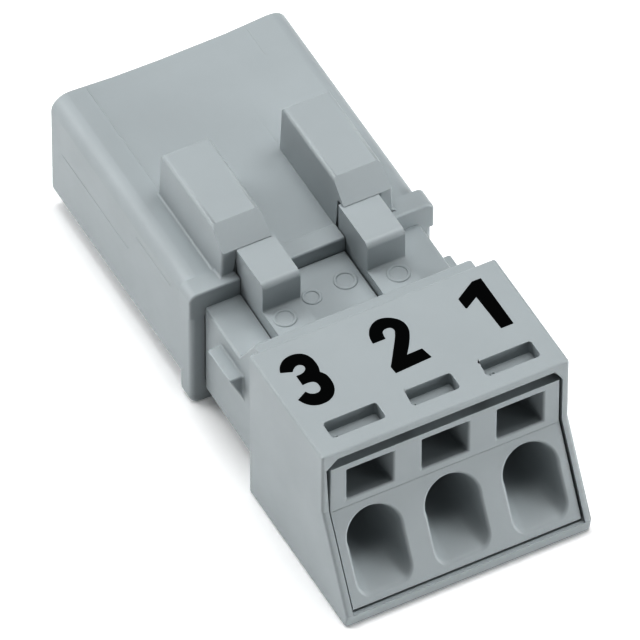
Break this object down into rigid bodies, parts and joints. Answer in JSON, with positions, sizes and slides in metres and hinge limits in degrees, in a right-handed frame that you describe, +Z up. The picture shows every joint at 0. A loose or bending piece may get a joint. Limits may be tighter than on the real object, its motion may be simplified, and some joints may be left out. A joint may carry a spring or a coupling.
{
  "type": "power plug connector",
  "caption": "Flat installation plug: wires enter funnels in its sloping front and are held by cage clamps, round pins stand in an open shroud, and hooded latches hold it in its socket.",
  "frame": {"origin": "middle of the overall length and width, on the plane that the plug rests on", "axes": "+X across the poles from 3 to 1, +Y from the wire entries to the mating end, +Z up"},
  "size_m": [0.0324, 0.0753, 0.0253],
  "materials": {
    "housing_grey": "fine moulded grey, slightly satin",
    "latch_grey": "fine moulded grey, slightly satin",
    "pin_metal": "turned and tin-plated",
    "bar_metal": "rolled strip, tin-plated",
    "spring_steel": "bright rolled spring steel"
  },
  "bodies": {
    "housing": {"terminal_cover": "housing_grey", "wire_entry_block": "housing_grey", "contact_carrier": "housing_grey", "mating_shroud": "housing_grey", "contact_pin_1": "pin_metal", "contact_pin_2": "pin_metal", "contact_pin_3": "pin_metal", "current_bar_1": "bar_metal", "current_bar_2": "bar_metal", "current_bar_3": "bar_metal", "clamp_spring_1": "spring_steel", "clamp_spring_2": "spring_steel", "clamp_spring_3": "spring_steel"},
    "left_latch": {"release_latch_left": "latch_grey"},
    "right_latch": {"release_latch_right": "latch_grey"}
  },
  "joints": [
    {"name": "left_latch_hinge", "type": "hinge", "parent": "housing", "child": "left_latch", "pos_m": [-0.00692, -0.00935, 0.0169], "axis": [-1, 0, 0], "range_deg": [0, 5], "stiffness_Nm_per_rad": 0.04},
    {"name": "right_latch_hinge", "type": "hinge", "parent": "housing", "child": "right_latch", "pos_m": [0.00692, -0.00935, 0.0169], "axis": [-1, 0, 0], "range_deg": [0, 5], "stiffness_Nm_per_rad": 0.04}
  ]
}
